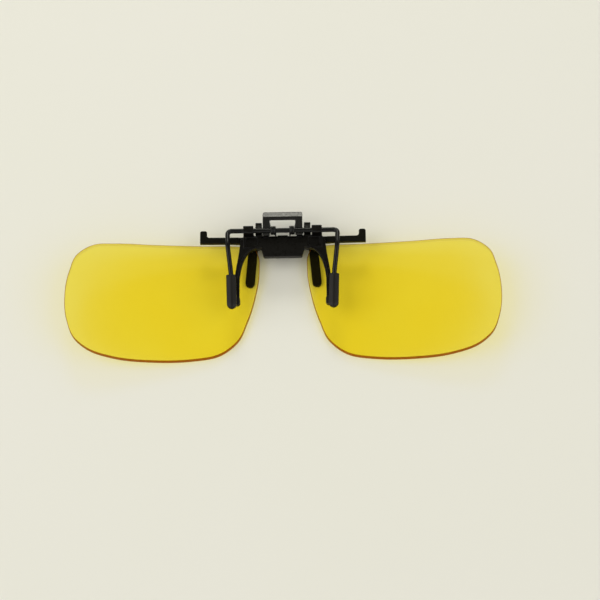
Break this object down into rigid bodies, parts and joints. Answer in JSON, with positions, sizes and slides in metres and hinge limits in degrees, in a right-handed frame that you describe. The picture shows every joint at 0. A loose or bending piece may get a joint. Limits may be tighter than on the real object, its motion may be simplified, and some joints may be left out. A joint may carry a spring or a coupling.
{
  "type": "flip-up clip-on night driving glasses",
  "caption": "Yellow night driving lenses on a bridge that flips up on a pin, with a sprung wire clamp and thumb lever that clip onto spectacles.",
  "frame": {"origin": "middle of the footprint, on the table that the front of the lenses lies on", "axes": "+X to the wearer's right along the width, +Y up as worn, towards the thumb lever, +Z towards the wearer"},
  "size_m": [0.1304, 0.0455, 0.0112],
  "materials": {
    "lens": "clear, tinted yellow, polished",
    "bridge_plastic": "black, moulded, satin gloss",
    "clamp_plastic": "black, moulded, satin gloss",
    "lever_plastic": "black, moulded, glossy",
    "wire": "black oxide, satin",
    "spring_steel": "dark drawn steel",
    "bright_steel": "plain drawn steel",
    "rubber": "matt black, moulded"
  },
  "bodies": {
    "lenses": {"lens_left": "lens", "lens_right": "lens", "lens_bridge": "bridge_plastic", "hinge_pin": "bright_steel", "detent_leaf": "bright_steel"},
    "clamp": {"clamp_base": "clamp_plastic", "jaw_pad_left": "rubber", "jaw_pad_right": "rubber", "torsion_spring": "spring_steel"},
    "claw": {"claw_wire": "wire", "thumb_lever": "lever_plastic", "sleeve_left": "rubber", "sleeve_right": "rubber"}
  },
  "joints": [
    {"name": "flip", "type": "hinge", "parent": "lenses", "child": "clamp", "pos_m": [0, 0.01828, 0.0055], "axis": [-1, 0, 0], "range_deg": [0, 90]},
    {"name": "claw_grip", "type": "hinge", "parent": "clamp", "child": "claw", "pos_m": [0, 0.01668, 0.0093], "axis": [-1, 0, 0], "range_deg": [0, 30], "stiffness_Nm_per_rad": 0.012, "springref_deg": -45.84, "deforming": ["torsion_spring"]}
  ]
}
